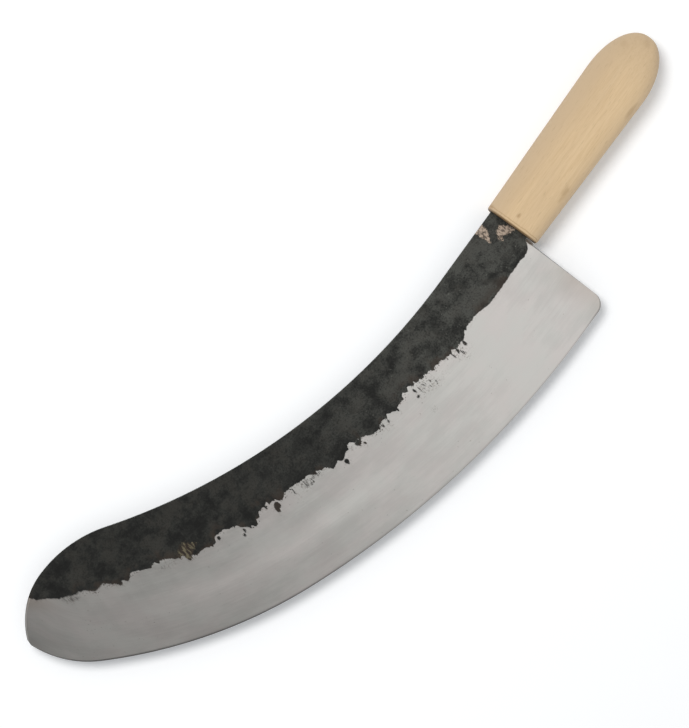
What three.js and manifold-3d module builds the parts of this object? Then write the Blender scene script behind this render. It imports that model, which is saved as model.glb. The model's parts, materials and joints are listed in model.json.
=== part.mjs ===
// A hand-forged cleaver with a long, upswept blade on a wooden stick handle, lying on its side.
//
// The knife is drawn flat: +X runs along the handle's axis towards the blade's nose, +Y towards the
// cutting edge and +Z out of the blade's side, with zero in the middle of the handle's front end.
// The finished group is then tipped so that it lies as it comes to rest on a table.

import * as THREE from "three";
import { ConvexHull } from "three/addons/math/ConvexHull.js";
import { mergeVertices } from "three/addons/utils/BufferGeometryUtils.js";
import Module from "manifold-3d";

const wasm = await Module();
wasm.setup();

// Handle, in millimetres
const HANDLE_LENGTH = 122;
const HANDLE_FRONT_WIDTH = 31.4;
const HANDLE_BACK_WIDTH = 34.8;
const HANDLE_THICKNESS = 24;
const HANDLE_EDGE_RADIUS = 8;
const FRONT_CHAMFER = 1.4;
const BUTT_LENGTH = 30;

// Back of the blade, from the neck to the corner of the nose, in millimetres and degrees
const NECK_GAP = 0.8;
const NECK_RISE = 13.3;
const SPINE_STRAIGHT = 43;
const SPINE_RADIUS = 357;
const SPINE_ANGLE = 35.4;
const NOSE_TOP_RADIUS = 69;
const NOSE_END_RADIUS = 40.5;
const NOSE_END_ANGLE = 53;

// Heel and cutting edge, in millimetres and degrees
const HEEL_DEPTH = 62.6;
const HEEL_RAKE_ANGLE = 1.4;
const HEEL_RADIUS = 7;
const EDGE_STRAIGHT = 14;
const BELLY_RADIUS = 503;
const BELLY_ANGLE = 22;
const TOE_RADIUS = 271;
const TOE_ANGLE = 24.8;

// Thickness of the blade: forged sides that thin out towards the nose, and a flat grind to the edge
const NECK_THICKNESS = 4.5;
const NOSE_THICKNESS = 3.4;
const EDGE_THICKNESS = 0.5;
const GRIND_ANGLE = 2.25;
const SPINE_CHAMFER = 0.5;
const NOSE_BLUNT = 1;

// Tang and the bedding that holds it in the handle
const TANG_LENGTH = 85;
const TANG_ROOT_WIDTH = 17;
const TANG_TIP_WIDTH = 8;
const TANG_THICKNESS = 3.6;
const TANG_WELD = 12;
const BEDDING_WALL = 1.2;
const FIT_CLEARANCE = 0.3;

// Densities in grams per cubic millimetre, for the point that the knife balances on
const STEEL_DENSITY = 0.00785;
const WOOD_DENSITY = 0.00065;

// Straight flats that the edge is ground in, from the heel's corner to the nose: it lies still on one.
const HEEL_FLAT_COUNT = 6;
const BELLY_FLAT_COUNT = 9;
const TOE_FLAT_COUNT = 5;
const NOSE_FLAT_COUNT = 9;

// Fineness of the curved surfaces
const FLAT_SPLIT_COUNT = 3;
const HANDLE_STEP_COUNT = 6;
const BUTT_STEP_COUNT = 10;
const CORNER_STEP_COUNT = 8;
const TANG_TIP_STEP_COUNT = 12;

const QUARTER_TURN = Math.PI / 2;

function unitVector(angle) {
  return new THREE.Vector2(Math.cos(angle), Math.sin(angle));
}

// Traces straights and tangent arcs. A turn in degrees is positive from +X towards +Y.
function tracePath(start, startHeading, moves) {
  const path = new THREE.CurvePath();
  let point = start.clone();
  let heading = startHeading;
  for (const { straight, radius, turn } of moves) {
    if (straight !== undefined) {
      const end = unitVector(heading).multiplyScalar(straight).add(point);
      path.add(new THREE.LineCurve(point, end));
      point = end;
    } else {
      const outward = heading - Math.sign(turn) * QUARTER_TURN;
      const sweep = THREE.MathUtils.degToRad(turn);
      const { x, y } = unitVector(outward).multiplyScalar(-radius).add(point);
      const arc = new THREE.EllipseCurve(x, y, radius, radius, outward, outward + sweep, turn < 0);
      path.add(arc);
      heading += sweep;
      point = arc.getPoint(1);
    }
  }
  return { path, point, heading };
}

// The move that leaves a point on a heading and bends in one arc to a target.
function arcTo(point, heading, target) {
  const chord = target.clone().sub(point);
  const lean = Math.atan2(chord.y, chord.x) - heading;
  const bend = Math.atan2(Math.sin(lean), Math.cos(lean));
  const radius = chord.length() / (2 * Math.sin(Math.abs(bend)));
  return { radius, turn: THREE.MathUtils.radToDeg(2 * bend) };
}

// Straight flats from point to point of a curved path, a given count on each of its curves
function flattenPath(path, counts) {
  const flats = new THREE.CurvePath();
  path.curves.forEach((curve, i) => {
    for (let k = 0; k < counts[i]; k++) {
      const start = curve.getPointAt(k / counts[i]);
      const end = curve.getPointAt((k + 1) / counts[i]);
      flats.add(new THREE.LineCurve(start, end));
    }
  });
  return flats;
}

// The back of the blade and its cutting edge, as two paths that meet at the corner of the nose
function bladeOutline() {
  const spine = tracePath(new THREE.Vector2(NECK_GAP, -NECK_RISE), 0, [
    { straight: SPINE_STRAIGHT },
    { radius: SPINE_RADIUS, turn: -SPINE_ANGLE },
    { radius: NOSE_TOP_RADIUS, turn: SPINE_ANGLE },
    { radius: NOSE_END_RADIUS, turn: NOSE_END_ANGLE },
  ]);

  const rake = THREE.MathUtils.degToRad(HEEL_RAKE_ANGLE);
  const heelHeading = QUARTER_TURN - rake;
  const heelTangent = HEEL_RADIUS * Math.tan(heelHeading / 2);
  const heelCorner = new THREE.Vector2(NECK_GAP + (HEEL_DEPTH + NECK_RISE) * Math.tan(rake), HEEL_DEPTH);
  const heelStart = unitVector(heelHeading).multiplyScalar(-heelTangent).add(heelCorner);
  const edgeMoves = [
    { radius: HEEL_RADIUS, turn: -THREE.MathUtils.radToDeg(heelHeading) },
    { straight: EDGE_STRAIGHT },
    { radius: BELLY_RADIUS, turn: -BELLY_ANGLE },
    { radius: TOE_RADIUS, turn: -TOE_ANGLE },
  ];
  const toe = tracePath(heelStart, heelHeading, edgeMoves);
  edgeMoves.push(arcTo(toe.point, toe.heading, spine.point));
  const curvedEdge = tracePath(heelStart, heelHeading, edgeMoves);
  const flatCounts = [HEEL_FLAT_COUNT, 1, BELLY_FLAT_COUNT, TOE_FLAT_COUNT, NOSE_FLAT_COUNT];
  const edge = flattenPath(curvedEdge.path, flatCounts);

  return { spine: spine.path, edge, noseCorner: spine.point };
}

// Skins rings of equal count, each clockwise as seen from the ring before it, into one closed body.
// The last ring may be a single point.
function loft(rings) {
  const count = rings[0].length;
  const positions = rings.flat().flatMap((point) => point.toArray());
  const triangles = [];
  for (let i = 2; i < count; i++) {
    triangles.push(0, i - 1, i);
  }
  for (let r = 0; r + 1 < rings.length; r++) {
    const near = r * count;
    const far = near + count;
    const pointed = rings[r + 1].length === 1;
    for (let i = 0; i < count; i++) {
      const next = (i + 1) % count;
      if (pointed) {
        triangles.push(near + next, near + i, far);
      } else {
        triangles.push(near + next, near + i, far + next, far + next, near + i, far + i);
      }
    }
  }
  if (rings.at(-1).length > 1) {
    const last = (rings.length - 1) * count;
    for (let i = 2; i < count; i++) {
      triangles.push(last, last + i, last + i - 1);
    }
  }
  const geometry = new THREE.BufferGeometry();
  geometry.setAttribute("position", new THREE.Float32BufferAttribute(positions, 3));
  geometry.setIndex(triangles);
  return geometry;
}

function solidFrom(geometry) {
  const bare = geometry.clone();
  bare.deleteAttribute("normal");
  bare.deleteAttribute("uv");
  const merged = mergeVertices(bare, 1e-4);
  const vertProperties = new Float32Array(merged.getAttribute("position").array);
  const triVerts = new Uint32Array(merged.getIndex().array);
  return new wasm.Manifold(new wasm.Mesh({ numProp: 3, vertProperties, triVerts }));
}

function geometryFrom(solid) {
  const { vertProperties, triVerts } = solid.getMesh();
  const geometry = new THREE.BufferGeometry();
  geometry.setAttribute("position", new THREE.BufferAttribute(vertProperties, 3));
  geometry.setIndex(new THREE.BufferAttribute(triVerts, 1));
  geometry.computeVertexNormals();
  return geometry;
}

// The tang's tapered bar with its round tip, grown on all sides and ending at a given front
function tangBar(grow, front) {
  const root = TANG_ROOT_WIDTH / 2 + grow;
  const tip = TANG_TIP_WIDTH / 2 + grow;
  const tipCentre = TANG_TIP_WIDTH / 2 - TANG_LENGTH;
  const outline = new THREE.Shape();
  outline.moveTo(front, -root);
  outline.lineTo(front, root);
  outline.lineTo(0, root);
  outline.absarc(tipCentre, 0, tip, QUARTER_TURN, 3 * QUARTER_TURN, false);
  outline.lineTo(0, -root);
  outline.closePath();
  const depth = TANG_THICKNESS + 2 * grow;
  const options = { depth, bevelEnabled: false, curveSegments: TANG_TIP_STEP_COUNT };
  return new THREE.ExtrudeGeometry(outline, options).translate(0, 0, -depth / 2);
}

// Cross-section of the blade on the line from a point of its back to a point of its edge. The forged
// sides are flat, and the grind cuts into them from the edge.
function bladeRing(back, edge, halfThicknessAt) {
  const width = back.distanceTo(edge);
  const halfEdge = EDGE_THICKNESS / 2;
  const grindRise = width * Math.tan(THREE.MathUtils.degToRad(GRIND_ANGLE));
  const forgedAtBack = halfThicknessAt(back.x);
  const forgedAtEdge = halfThicknessAt(edge.x);
  const heightAt = (share) => {
    const forged = THREE.MathUtils.lerp(forgedAtBack, forgedAtEdge, share);
    return Math.min(forged, halfEdge + grindRise * (1 - share));
  };
  const chamfer = Math.min(SPINE_CHAMFER / width, 1 / 4);
  const grindLine = (halfEdge + grindRise - forgedAtBack) / (forgedAtEdge - forgedAtBack + grindRise);
  const shares = [0, chamfer, Math.max(grindLine, 2 * chamfer), 1];
  const heights = shares.map(heightAt);
  heights[0] -= (chamfer * width) / 2;
  const place = (share, height) => {
    const { x, y } = back.clone().lerp(edge, share);
    return new THREE.Vector3(x, y, height);
  };
  const upper = shares.map((share, i) => place(share, heights[i]));
  const lower = shares.map((share, i) => place(share, -heights[i])).reverse();
  return [...upper, ...lower];
}

// Shares of the edge's length at which the blade has a cross-section, a few on each flat
function flatShares(edge) {
  const shares = [];
  let start = 0;
  for (const end of edge.getCurveLengths()) {
    for (let k = 0; k < FLAT_SPLIT_COUNT; k++) {
      shares.push(THREE.MathUtils.lerp(start, end, k / FLAT_SPLIT_COUNT) / edge.getLength());
    }
    start = end;
  }
  return shares;
}

function bladeGeometry() {
  const { spine, edge, noseCorner } = bladeOutline();
  const halfThicknessAt = (x) => {
    const along = (x - NECK_GAP) / (noseCorner.x - NECK_GAP);
    return THREE.MathUtils.lerp(NECK_THICKNESS, NOSE_THICKNESS, along) / 2;
  };
  const noseShare = 1 - NOSE_BLUNT / edge.getLength();
  const rings = [...flatShares(edge).filter((share) => share < noseShare), noseShare].map((share) => {
    return bladeRing(spine.getPoint(share), edge.getPoint(share), halfThicknessAt);
  });
  const forging = solidFrom(loft(rings)).add(solidFrom(tangBar(0, NECK_GAP + TANG_WELD)));
  return geometryFrom(forging);
}

// Cross-section of the handle: a rectangle with round corners
function handleRing(x, halfWidth, halfThickness, radius) {
  const ring = [];
  for (let corner = 0; corner < 4; corner++) {
    const centreY = (corner === 0 || corner === 3 ? 1 : -1) * (halfWidth - radius);
    const centreZ = (corner < 2 ? 1 : -1) * (halfThickness - radius);
    for (let i = 0; i <= CORNER_STEP_COUNT; i++) {
      const { x: y, y: z } = unitVector((corner + i / CORNER_STEP_COUNT) * QUARTER_TURN);
      ring.push(new THREE.Vector3(x, centreY + y * radius, centreZ + z * radius));
    }
  }
  return ring;
}

function handleGeometry() {
  const straight = HANDLE_LENGTH - BUTT_LENGTH;
  const halfThickness = HANDLE_THICKNESS / 2;
  const halfWidthAt = (x) => {
    return THREE.MathUtils.lerp(HANDLE_FRONT_WIDTH, HANDLE_BACK_WIDTH, -x / straight) / 2;
  };
  const rings = [
    handleRing(
      0,
      halfWidthAt(0) - FRONT_CHAMFER,
      halfThickness - FRONT_CHAMFER,
      HANDLE_EDGE_RADIUS - FRONT_CHAMFER,
    ),
  ];
  for (let i = 0; i <= HANDLE_STEP_COUNT; i++) {
    const x = THREE.MathUtils.lerp(-FRONT_CHAMFER, -straight, i / HANDLE_STEP_COUNT);
    rings.push(handleRing(x, halfWidthAt(x), halfThickness, HANDLE_EDGE_RADIUS));
  }
  for (let i = 1; i < BUTT_STEP_COUNT; i++) {
    const { x: shrink, y: reach } = unitVector((QUARTER_TURN * i) / BUTT_STEP_COUNT);
    rings.push(
      handleRing(
        -straight - BUTT_LENGTH * reach,
        (HANDLE_BACK_WIDTH / 2) * shrink,
        halfThickness * shrink,
        HANDLE_EDGE_RADIUS * shrink,
      ),
    );
  }
  rings.push([new THREE.Vector3(-HANDLE_LENGTH, 0, 0)]);
  const socket = tangBar(2 * FIT_CLEARANCE + BEDDING_WALL, NECK_GAP);
  return geometryFrom(solidFrom(loft(rings)).subtract(solidFrom(socket)));
}

function beddingGeometry() {
  const filling = tangBar(FIT_CLEARANCE + BEDDING_WALL, 0);
  const room = tangBar(FIT_CLEARANCE, NECK_GAP);
  return geometryFrom(solidFrom(filling).subtract(solidFrom(room)));
}

function part(name, geometry, color, roughness, metalness) {
  const mesh = new THREE.Mesh(geometry, new THREE.MeshStandardMaterial({ color, roughness, metalness }));
  mesh.name = name;
  return mesh;
}

function pointsOf(mesh) {
  const position = mesh.geometry.getAttribute("position");
  const pointAt = (_, i) => new THREE.Vector3().fromBufferAttribute(position, i);
  return Array.from({ length: position.count }, pointAt);
}

// Mass of a closed mesh and the sum of its mass times place, from the tetrahedra to its triangles
function massOf(mesh, density) {
  const points = pointsOf(mesh);
  const index = mesh.geometry.getIndex();
  const moment = new THREE.Vector3();
  let mass = 0;
  for (let i = 0; i < index.count; i += 3) {
    const [a, b, c] = [0, 1, 2].map((k) => points[index.getX(i + k)]);
    const share = (density * a.dot(new THREE.Vector3().crossVectors(b, c))) / 6;
    mass += share;
    moment.add(a.clone().add(b).add(c).multiplyScalar(share / 4));
  }
  return { mass, moment };
}

// The downward side of the knife's hull that lies under its balance point: it rests on that side.
function restingSide(blade, handle) {
  const steel = massOf(blade, STEEL_DENSITY);
  const wood = massOf(handle, WOOD_DENSITY);
  const balance = steel.moment.add(wood.moment).divideScalar(steel.mass + wood.mass);
  const hull = new ConvexHull().setFromPoints([...pointsOf(blade), ...pointsOf(handle)]);
  const dropTo = (face) => face.distanceToPoint(balance) / face.normal.z;
  const undersides = hull.faces.filter((face) => face.normal.z < 0);
  return undersides.reduce((best, face) => (dropTo(face) < dropTo(best) ? face : best)).normal;
}

const blade = part("blade", bladeGeometry(), 0x8e8b87, 0.45, 0.9);
const handle = part("handle", handleGeometry(), 0xcfb591, 0.6, 0);
const bedding = part("tang_bedding", beddingGeometry(), 0x3a2618, 0.5, 0);

const knife = new THREE.Group();
knife.add(blade, handle, bedding);
knife.quaternion.setFromUnitVectors(restingSide(blade, handle), new THREE.Vector3(0, 0, -1));

// The finished part stands on the table with zero under the middle of its box.
const box = new THREE.Box3().setFromObject(knife, true);
const middle = box.getCenter(new THREE.Vector3());
knife.position.set(-middle.x, -middle.y, -box.min.z);

const cleaver = new THREE.Group();
cleaver.add(knife);

export default cleaver;
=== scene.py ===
"""Dresses the solids of a hand-forged cleaver: forged blade, wooden grip, tang bedding and a plain stage.

The knife is drawn flat, in metres: +X runs along the grip towards the blade's nose, +Y towards the
cutting edge and +Z out of the blade's side, with zero in the middle of the grip's front end. Each
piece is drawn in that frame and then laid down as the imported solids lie.
"""

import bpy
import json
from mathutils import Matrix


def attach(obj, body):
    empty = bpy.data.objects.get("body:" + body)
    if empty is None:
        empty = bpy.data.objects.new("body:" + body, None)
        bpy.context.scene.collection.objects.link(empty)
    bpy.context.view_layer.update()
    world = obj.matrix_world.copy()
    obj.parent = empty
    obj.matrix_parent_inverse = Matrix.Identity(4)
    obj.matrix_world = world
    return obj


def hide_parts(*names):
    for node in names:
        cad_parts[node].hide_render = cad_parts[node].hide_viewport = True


bl_info = {
    "name": "Forged cleaver",
    "version": (1, 0, 0),
    "blender": (4, 5, 0),
    "location": "3D View > Sidebar > Cleaver",
    "description": "Builds the cleaver's forged blade, wooden grip and tang bedding on a plain stage",
    "category": "Object",
}

import json
import math
from collections import namedtuple

import bmesh
import bpy
import numpy as np
from mathutils import Matrix, Vector, geometry, kdtree, noise

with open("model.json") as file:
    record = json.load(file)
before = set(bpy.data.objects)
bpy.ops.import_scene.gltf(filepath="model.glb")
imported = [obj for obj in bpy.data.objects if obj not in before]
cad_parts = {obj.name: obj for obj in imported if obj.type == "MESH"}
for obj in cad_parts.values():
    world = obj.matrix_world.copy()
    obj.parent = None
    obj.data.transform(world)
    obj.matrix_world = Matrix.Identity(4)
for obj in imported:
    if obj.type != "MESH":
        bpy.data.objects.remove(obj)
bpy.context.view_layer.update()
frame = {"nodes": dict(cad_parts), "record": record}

MM = 0.001
BODY = "root"

# Photograph: its height in pixels, what one pixel spans at the blade, where its middle falls on the knife
# and how far its upright is turned from the knife's axis
IMAGE_HEIGHT = 728
PIXEL_SPAN = 0.52 * MM
IMAGE_MIDDLE = Vector((108.8, -28.3, 0)) * MM
IMAGE_UP = Vector((-0.8090, -0.5878, 0))
IMAGE_RIGHT = Vector((-0.5878, 0.8090, 0))

# The mount in the middle of the grip's upper flat, which gives the knife's place and tilt
POSE_MOUNT = "grip_flat_up"
POSE_MOUNT_REACH = 50 * MM

# Border of the forge scale: distance from the heel along the blade's middle, then from the cutting edge
SCALE_BORDER = np.array((
    (0, 46), (3, 46), (6, 47), (11, 48.6), (40, 48), (50, 50.5), (59, 48.8), (63, 46.5), (73, 47),
    (86, 48.6), (102, 50), (106, 49), (115, 46), (120, 47.4), (125, 47), (128, 44.8), (132, 45), (138, 48),
    (146, 48.5), (153, 45), (156, 45.5), (159.5, 43.8), (162, 47), (173, 49.3), (187, 49.4), (192, 46),
    (194.5, 49.3), (205, 48.4), (210, 42.6), (214, 43), (219, 47.5), (227, 49.3), (232, 48), (234, 45.6),
    (241, 44.5), (248, 42), (262, 48), (270, 45.3), (279, 46.6), (288, 40.8), (297, 44), (302, 40.3),
    (307, 42.4), (318, 40), (334, 40.5),
)) * MM

# Islands of scale left in the ground face: place as above, half length along, half width across, and how
# far it is worn down
SCALE_ISLANDS = np.array((
    (64.2, 45.2, 0.8, 1.8, 0), (69.8, 45.2, 0.7, 1.6, 0), (68.6, 42.6, 0.7, 1.6, 0.1),
    (73.1, 44.9, 0.6, 1.4, 0), (96, 44.5, 6, 3.2, 0.7), (87, 42.5, 6, 2.5, 0.8),
    (101.5, 43.7, 0.9, 0.7, 0), (100.6, 47.2, 0.7, 1.6, 0.1), (101, 33, 0.8, 0.8, 0.4),
    (121.8, 45.2, 0.5, 1.2, 0), (125.6, 45.2, 0.6, 1.1, 0), (138.6, 44.5, 0.8, 0.8, 0),
    (141, 47, 1.8, 1.8, 0), (152.4, 43, 1.1, 1.7, 0), (169, 47.3, 4, 1.6, 0.5),
    (175.5, 46.2, 4.5, 2.8, 0.52), (183.8, 46.9, 0.5, 1.7, 0), (195.3, 45.8, 1.7, 2.0, 0),
    (196.6, 43.9, 1.1, 2.2, 0), (217.4, 43.6, 0.7, 1.3, 0), (219.2, 41.2, 0.6, 1.2, 0),
    (230.6, 46.4, 1.0, 1.2, 0), (262, 43.5, 5, 1.6, 0.66), (316, 39, 5, 1.8, 0.5),
)) * MM

# Patches worn bare at the neck, by their corners in the knife's frame in millimetres
BARE_PATCHES = (
    ((3.2, -5.8), (0.9, -1.9), (1.0, 2.2), (4.9, 0.4), (6.8, -1.0), (8.4, 0.9), (9.5, -1.3), (6.9, -5.0)),
    ((8.2, -14.0), (9.1, -9.0), (11.4, -6.0), (13.6, -3.7), (13.9, -10.0), (14.4, -14.0)),
)

# Brown patch in the scale beside its border, in the same form
RUST_PATCHES = (((229.0, -36.0), (233.0, -42.0), (238.5, -41.5), (241.5, -36.5), (237.0, -33.0)),)


def length_property(name, description, millimetres):
    """A length that a user may set, with its default given in millimetres."""
    return bpy.props.FloatProperty(
        name=name, description=description, default=millimetres * MM,
        min=0.0, precision=5, subtype="DISTANCE", unit="LENGTH",
    )


def angle_property(name, description, degrees):
    """An angle that a user may set, with its default given in degrees."""
    return bpy.props.FloatProperty(
        name=name, description=description, default=math.radians(degrees), subtype="ANGLE", unit="ROTATION",
    )


def colour_property(name, description, colour):
    """A colour that a user may set, in linear light."""
    return bpy.props.FloatVectorProperty(
        name=name, description=description, default=colour, min=0.0, max=1.0, size=3, subtype="COLOR",
    )


class CleaverBladeShape(bpy.types.PropertyGroup):
    """Sizes of the blade and its tang."""

    neck_gap: length_property("Neck gap", "From the grip's front end to the blade", 0.8)
    neck_rise: length_property("Neck rise", "From the grip's axis to the back of the blade", 13.3)
    spine_straight: length_property("Straight back", "Straight stretch of the back at the neck", 43)
    spine_radius: length_property("Back radius", "Hollow sweep of the back", 357)
    spine_angle: angle_property("Back sweep", "Angle that the back sweeps up by", 35.4)
    nose_top_radius: length_property("Nose top radius", "Round where the back turns over the nose", 69)
    nose_end_radius: length_property("Nose end radius", "Round of the nose's end", 40.5)
    nose_end_angle: angle_property("Nose end turn", "Angle that the nose's end turns by", 53)
    nose_blunt: length_property("Nose corner", "Width of the nose's blunted corner", 1.8)
    heel_depth: length_property("Heel depth", "From the grip's axis to the edge at the heel", 62.6)
    heel_rake: angle_property("Heel rake", "Lean of the heel's back", 1.4)
    heel_radius: length_property("Heel radius", "Round of the heel's corner", 7)
    edge_straight: length_property("Straight edge", "Straight stretch of the edge at the heel", 14)
    belly_radius: length_property("Belly radius", "Sweep of the edge along the belly", 503)
    belly_angle: angle_property("Belly turn", "Angle of the belly's sweep", 22)
    toe_radius: length_property("Toe radius", "Sweep of the edge towards the nose", 271)
    toe_angle: angle_property("Toe turn", "Angle of the toe's sweep", 24.8)
    neck_thickness: length_property("Neck thickness", "Thickness of the forging at the neck", 4.5)
    nose_thickness: length_property("Nose thickness", "Thickness of the forging at the nose", 3.4)
    edge_thickness: length_property("Edge thickness", "Thickness left at the cutting edge", 0.5)
    grind_angle: angle_property("Grind angle", "Slope of each ground face", 2.25)
    hammer_width: length_property("Hammer marks", "Spacing of the hammer's marks", 13)
    hammer_depth: length_property("Hammer depth", "Depth of the hammer's marks", 0.34)
    scale_step: length_property("Scale step", "Height of the scale over the ground face", 0.03)
    tang_length: length_property("Tang length", "Length of the tang inside the grip", 85)
    tang_root_width: length_property("Tang root", "Width of the tang at the neck", 17)
    tang_tip_width: length_property("Tang tip", "Width of the tang at its tip", 8)
    tang_thickness: length_property("Tang thickness", "Thickness of the tang", 3.6)


class CleaverGripShape(bpy.types.PropertyGroup):
    """Sizes of the wooden grip."""

    length: length_property("Length", "From the front end to the end of the butt", 122)
    front_width: length_property("Front width", "Width at the front end", 31.4)
    back_width: length_property("Back width", "Width where the butt begins", 34.8)
    thickness: length_property("Thickness", "Thickness across the flats", 24)
    edge_radius: length_property("Edge radius", "Round of the long edges", 8)
    front_chamfer: length_property("Front chamfer", "Broken edge round the front end", 1.4)
    butt_length: length_property("Butt length", "Length of the round butt", 30)
    socket_width: length_property("Socket width", "Width of the socket's mouth", 21)
    socket_depth: length_property("Socket depth", "Depth of the socket", 87)
    socket_thickness: length_property("Socket thickness", "Height of the socket", 7.6)
    sanding: length_property("Sanding", "Unevenness left by hand sanding", 0.22)


class CleaverFinish(bpy.types.PropertyGroup):
    """Colours of the cleaver's surfaces, in linear light."""

    steel: colour_property("Ground steel", "Freshly ground face", (0.634, 0.628, 0.598))
    warm_steel: colour_property("Warm steel", "Ground face where it shows a warm tint", (0.654, 0.618, 0.594))
    scale: colour_property("Forge scale", "Black skin left by the forge", (0.0110, 0.0114, 0.0098))
    # Greyer skin towards the neck: partly worn scale, partly a painted reflection that lightens the scale
    # there
    worn_and_sheen_scale: colour_property("Worn scale", "Greyer skin towards the neck", (0.060, 0.061, 0.054))
    bare: colour_property("Bare patch", "Steel that shows in the neck's bare patches", (0.36, 0.285, 0.225))
    rust: colour_property("Rust", "Brown bloom beside the scale's border", (0.034, 0.023, 0.016))
    bloom: colour_property("Bloom", "Pale streaks in the brown patch", (0.125, 0.108, 0.068))
    wood: colour_property("Wood", "Pale sanded hardwood", (0.705, 0.522, 0.315))
    grain: colour_property("Grain", "Darker lines of the wood", (0.600, 0.425, 0.235))
    grey_wood: colour_property("Grey wood", "Wood where handling has greyed it", (0.565, 0.420, 0.265))
    # Also darkens the grip's front rim, partly as scorch and partly as painted shade at the joint with the
    # blade
    stain_and_joint_shade: colour_property("Stain", "Brown stains on the wood", (0.32, 0.19, 0.08))
    scorch: colour_property("Scorch", "Burnt wood at the mouth of the socket", (0.10, 0.050, 0.022))
    resin: colour_property("Resin", "Resin that beds the tang", (0.045, 0.024, 0.013))


class CleaverStage(bpy.types.PropertyGroup):
    """Sizes and strengths of the stage."""

    camera_height: length_property("Camera height", "From the blade to the camera", 1250)
    floor_size: length_property("Floor size", "Width of the floor", 12000)
    key_size: length_property("Key size", "Width of the soft key light", 640)
    key_distance: length_property("Key distance", "From the knife to the key light", 1500)
    key_power: bpy.props.FloatProperty(
        name="Key power", description="Power of the key light in watts", default=12.4, min=0.0,
    )
    sky_strength: bpy.props.FloatProperty(
        name="Sky", description="Strength of the even light from all round", default=0.5, min=0.0,
    )


# Geometry that the pieces share

Move = namedtuple("Move", "length turn")


def arc(radius, turn):
    """The move along an arc; a positive turn goes from +X towards +Y."""
    return Move(radius * abs(turn), turn)


def straight(length):
    """The move along a straight line."""
    return Move(length, 0.0)


def heading_vector(heading):
    """Unit vector on a heading in the plane of the blade."""
    return Vector((math.cos(heading), math.sin(heading), 0))


def arc_centre(point, heading, move):
    """Centre of the arc that leaves a point on a heading."""
    side = math.copysign(math.pi / 2, move.turn)
    return point + heading_vector(heading + side) * (move.length / abs(move.turn))


def follow(point, heading, moves):
    """Point and heading at the end of a row of moves."""
    for move in moves:
        if move.turn:
            centre = arc_centre(point, heading, move)
            point = centre + Matrix.Rotation(move.turn, 3, "Z") @ (point - centre)
        else:
            point = point + heading_vector(heading) * move.length
        heading += move.turn
    return point, heading


def arc_to(point, heading, target):
    """The arc that leaves a point on a heading and ends at a target."""
    chord = target - point
    lean = math.atan2(chord.y, chord.x) - heading
    bend = math.atan2(math.sin(lean), math.cos(lean))
    return arc(chord.length / (2 * math.sin(abs(bend))), 2 * bend)


def shortened(move, cut):
    """The same move, ended early."""
    share = 1 - cut / move.length
    return Move(move.length * share, move.turn * share)


def draw_chain(bm, point, heading, moves, steps):
    """Spins a vertex along the moves in about equal steps and returns the chain's vertices in order."""
    first = len(bm.verts)
    tip = bm.verts.new(point)
    total = sum(move.length for move in moves)
    run = 0.0
    done = 0
    for move in moves:
        run += move.length
        count = round(steps * run / total) - done
        done += count
        if move.turn:
            way = {"cent": arc_centre(point, heading, move), "angle": move.turn}
        else:
            stride = heading_vector(heading) * (move.length / count)
            way = {"cent": point, "dvec": stride, "angle": 0}
        tip = bmesh.ops.spin(bm, geom=[tip], axis=(0, 0, 1), steps=count, **way)["geom_last"][0]
        point, heading = follow(point, heading, [move])
    bm.verts.ensure_lookup_table()
    return bm.verts[first:]


def smooth_share(value, low, high):
    """0 below low, 1 above high and an even ease between."""
    share = min(max((value - low) / (high - low), 0.0), 1.0)
    return share * share * (3 - 2 * share)


def quarter_turn(k, steps):
    """Angle after some of the steps of a quarter turn."""
    return math.pi / 2 * k / steps


def knife_place():
    """Matrix from the knife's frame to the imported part's."""
    mount = next(m for m in frame["record"]["mounts"] if m["name"] == POSE_MOUNT)
    tilt = Vector((0, 0, 1)).rotation_difference(Vector(mount["axis"])).to_matrix().to_4x4()
    mount_point = Vector((-POSE_MOUNT_REACH, 0, bpy.context.scene.cleaver_grip.thickness / 2))
    return Matrix.Translation(Vector(mount["pos_m"]) - tilt @ mount_point) @ tilt


def extrude_faces(bm, faces):
    """Extrudes joined faces, leaves none of the old ones inside, and returns the new faces and vertices."""
    edges = dict.fromkeys(edge for face in faces for edge in face.edges)
    made = bmesh.ops.extrude_face_region(bm, geom=[*faces, *edges])["geom"]
    new_faces = [item for item in made if isinstance(item, bmesh.types.BMFace)]
    return new_faces, [item for item in made if isinstance(item, bmesh.types.BMVert)]


def add_piece(bm, name, material, sharp_angle):
    """Lays a drawn piece down in the part's frame and makes it an object that rides on the body."""
    bmesh.ops.recalc_face_normals(bm, faces=bm.faces[:])
    bmesh.ops.transform(bm, matrix=knife_place(), verts=bm.verts[:])
    for face in bm.faces:
        face.smooth = True
    mesh = bpy.data.meshes.new(name)
    bm.to_mesh(mesh)
    bm.free()
    mesh.set_sharp_from_angle(angle=sharp_angle)
    mesh.materials.append(material)
    piece = bpy.data.objects.new(name, mesh)
    bpy.context.scene.collection.objects.link(piece)
    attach(piece, BODY)
    return piece


# Blade

# Mesh: stations along the blade and rows across it, which lie closest at the rims, along the scale's
# border and at the neck
STATIONS = 620
ROWS = 64
ROW_SAMPLES = 240
COARSE_ROW = 2.6 * MM
RIM_ROW = 0.25 * MM
RIM_BAND = 0.9 * MM
BORDER_ROW = 0.62 * MM
BORDER_BAND = 9 * MM
NECK_ROW = 0.8 * MM
NECK_BAND = 7 * MM
NECK_PLACE = 8 * MM
NECK_END = 22 * MM
NUMBER_NOTES = ("station", "row", "blade_rim")
VECTOR_NOTES = ("blade_lie", "blade_marks")
BLADE_SHARP = math.radians(35)

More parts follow.
